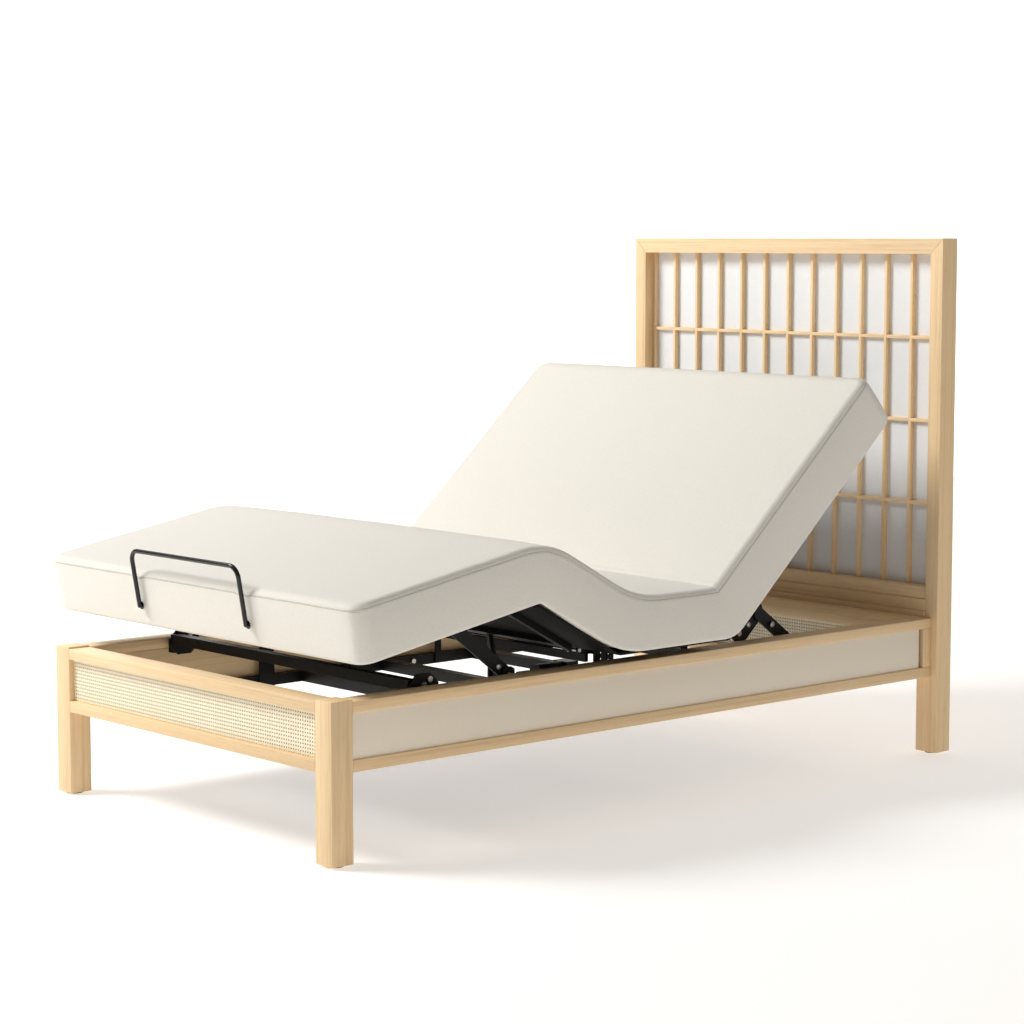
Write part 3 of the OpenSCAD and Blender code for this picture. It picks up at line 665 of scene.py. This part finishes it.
def piping_tube(name, path, radius, sides=8):
    bm = bmesh.new()
    rings = []
    for i, (p, n) in enumerate(path):
        a = path[max(0, i - 1)][0]
        b = path[min(len(path) - 1, i + 1)][0]
        t = (b - a).normalized()
        u = (n - t * n.dot(t)).normalized()
        w = t.cross(u)
        rings.append([bm.verts.new(p + (u * math.cos(q) + w * math.sin(q)) * radius)
                      for q in (2 * math.pi * k / sides for k in range(sides))])
    for r0, r1 in zip(rings, rings[1:]):
        for k in range(sides):
            bm.faces.new((r0[k], r1[k], r1[(k + 1) % sides], r0[(k + 1) % sides]))
    bm.faces.new(rings[0])
    bm.faces.new(rings[-1][::-1])
    bmesh.ops.recalc_face_normals(bm, faces=bm.faces)
    # Piping in its darker tone: painted shade along the seam.
    return new_object(name, bm, SHADED_PIPING, 60)


for name, first, last in PARTS:
    obj = new_object("padding_" + name, part_of(bm, first, last, row_of), PAD, 60)
    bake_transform(obj)
    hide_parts(*STANDS_FOR[name])
    inside = [(p, n) if ss[first] <= s <= ss[last] else None for p, n, s in seam_path]
    runs, run = [], []
    for item in inside + [None]:
        if item:
            run.append(item)
        elif run:
            runs.append(run)
            run = []
    if name == "back" and len(runs) == 2:        # the path starts and ends at the head end
        runs = [runs[1] + runs[0]]
    for i, run in enumerate(runs):
        tube = piping_tube(f"piping_{name}_{i}", [(p - n * 0.0006, n) for p, n in run], PIPING_R)
        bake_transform(tube)
bm.free()


# ---- bolt heads -------------------------------------------------------------

BOLT_SIDES = 24
STRUT_EYE = (0.150, 0.020)                       # back from the knee, and under the hinge line
STAY_SLOPE = math.radians(-36)
PLATE_X = 0.468
PLATE_BOLTS = ((0.110, -0.118), (0.148, -0.126))   # along and off the back section


def bolt_heads(name, body, points, radius=0.0075, height=0.004):
    """Domed hexagon-socket heads; each point is on a face that looks along the sign given with it."""
    bm = bmesh.new()
    profile = [(1.0, 0.0), (1.0, 0.25), (0.93, 0.55), (0.75, 0.82), (0.5, 1.0), (0.46, 0.5)]
    for p, side in points:
        rings = []
        for k, (r, h) in enumerate(profile):
            ring = []
            for i in range(BOLT_SIDES):
                a = 2 * math.pi * i / BOLT_SIDES
                rr = radius * r
                if k >= 4:                       # the hexagon of the socket
                    rr *= math.cos(math.pi / 6) / math.cos((a % (math.pi / 3)) - math.pi / 6)
                ring.append(bm.verts.new((p[0] + side * height * h, p[1] + rr * math.cos(a),
                                          p[2] + rr * math.sin(a))))
            rings.append(ring)
        for r0, r1 in zip(rings, rings[1:]):
            for i, j in zip(range(BOLT_SIDES), [*range(1, BOLT_SIDES), 0]):
                bm.faces.new((r0[i], r0[j], r1[j], r1[i]))
        bm.faces.new(rings[-1])
    bmesh.ops.recalc_face_normals(bm, faces=bm.faces)
    obj = new_object(name, bm, ZINC, 35)
    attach(obj, body)


def along(a, b, d):
    """The point d metres from a toward b, in Y and Z."""
    a, b = Vector(a), Vector(b)
    q = a + (b - a).normalized() * d
    return q.x, q.y


def on_back(s, n):
    q = H_BACK + D_BACK * s + up(D_BACK) * n
    return q.x, q.y


for side, tag in ((-1, "left"), (1, "right")):
    strut_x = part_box("strut_" + tag)[side > 0].x
    foot = JOINTS["strut_swing_" + tag]["pos_m"][1:]
    calf_end = KNEE - D_CALF * STRUT_EYE[0] - up(D_CALF) * STRUT_EYE[1]
    y, z = along(foot, calf_end, 0.034)
    bolt_heads("bolt_strut_" + tag, "strut_" + tag, [((strut_x, y, z), side)])
    stay_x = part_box("stay_" + tag)[side > 0].x
    pivot = JOINTS["stay_swing_" + tag]["pos_m"][1:]
    arm_end = (pivot[0] + math.cos(STAY_SLOPE), pivot[1] + math.sin(STAY_SLOPE))
    y0, z0 = along(pivot, arm_end, 0.052)
    bolt_heads("bolt_stay_" + tag, "stay_" + tag, [((stay_x, y0, z0), side)])
    bolt_heads("bolt_plate_" + tag, "back",
               [((side * PLATE_X, *on_back(*at)), side) for at in PLATE_BOLTS])


# ---- stage ------------------------------------------------------------------

FLOOR_Z = -0.0005
FLOOR_GLOW, SCREEN_GLOW, WORLD_GLOW = 0.53, 0.9, 0.25


def floor():
    bm = bmesh.new()
    bmesh.ops.create_grid(bm, x_segments=1, y_segments=1, size=30)
    m = Nodes("floor", roughness=0.9)
    cloud = m.noise(m.coords((1, 1, 1)), 1.0, 2)
    m.colour(m.ramp(cloud, [(0.3, (0.66, 0.66, 0.66)), (0.7, (0.68, 0.68, 0.68))]))
    m.shader.inputs["Emission Color"].default_value = (1.0, 0.96, 0.92, 1)
    m.shader.inputs["Emission Strength"].default_value = FLOOR_GLOW
    obj = new_object("floor", bm, m.mat, 0)
    obj.location.z = FLOOR_Z


def area(name, at, target, size, power, colour):
    light = bpy.data.lights.new(name, "AREA")
    light.shape = "DISK"
    light.size = size
    light.energy = power
    light.color = colour
    obj = bpy.data.objects.new(name, light)
    obj.location = at
    obj.rotation_euler = (Vector(target) - Vector(at)).to_track_quat("-Z", "Y").to_euler()
    bpy.context.scene.collection.objects.link(obj)


def backdrop(centre, radius, height, spread):
    """A tall curved white screen behind the bed, lit from within."""
    bm = bmesh.new()
    steps = 24
    rows = []
    for i in range(steps + 1):
        a = centre + math.radians(-spread + 2 * spread * i / steps)
        x, y = radius * math.cos(a), radius * math.sin(a)
        rows.append((bm.verts.new((x, y, FLOOR_Z)), bm.verts.new((x, y, height))))
    for (a, b), (c, d) in zip(rows, rows[1:]):
        bm.faces.new((c, a, b, d))
    m = Nodes("backdrop", roughness=1.0)
    cloud = m.noise(m.coords((1, 1, 1)), 1.0, 2)
    m.colour(m.ramp(cloud, [(0.3, (0.9, 0.9, 0.9)), (0.7, (0.92, 0.92, 0.92))]))
    m.shader.inputs["Emission Color"].default_value = (1, 1, 1, 1)
    m.shader.inputs["Emission Strength"].default_value = SCREEN_GLOW
    new_object("backdrop", bm, m.mat, 60)


floor()
backdrop(math.radians(138.6), 9.0, 6.0, 55)
area("key", (-3.0, -3.5, 4.6), (0, -0.2, 0.4), 2.6, 350, (1.0, 0.99, 0.97))
area("fill", (5.5, -0.5, 0.9), (0.5, 0, 0.3), 2.5, 10, (1.0, 0.93, 0.84))

world = bpy.data.worlds.new("studio")
bpy.context.scene.world = world
world.use_nodes = True
sky = world.node_tree.nodes["Background"].inputs
sky["Color"].default_value = (1, 0.97, 0.92, 1)
sky["Strength"].default_value = WORLD_GLOW

bpy.context.scene.view_settings.view_transform = "Standard"

camera = bpy.data.cameras.new("camera")
camera.sensor_width = 36
camera.lens = 94.2
camera.clip_end = 100
cam = bpy.data.objects.new("camera", camera)
bpy.context.scene.collection.objects.link(cam)
cam.location = (5.1336, -4.5445, 1.3776)
cam.rotation_euler = (math.radians(90 - 5.846), 0, math.radians(48.585))
bpy.context.scene.camera = cam
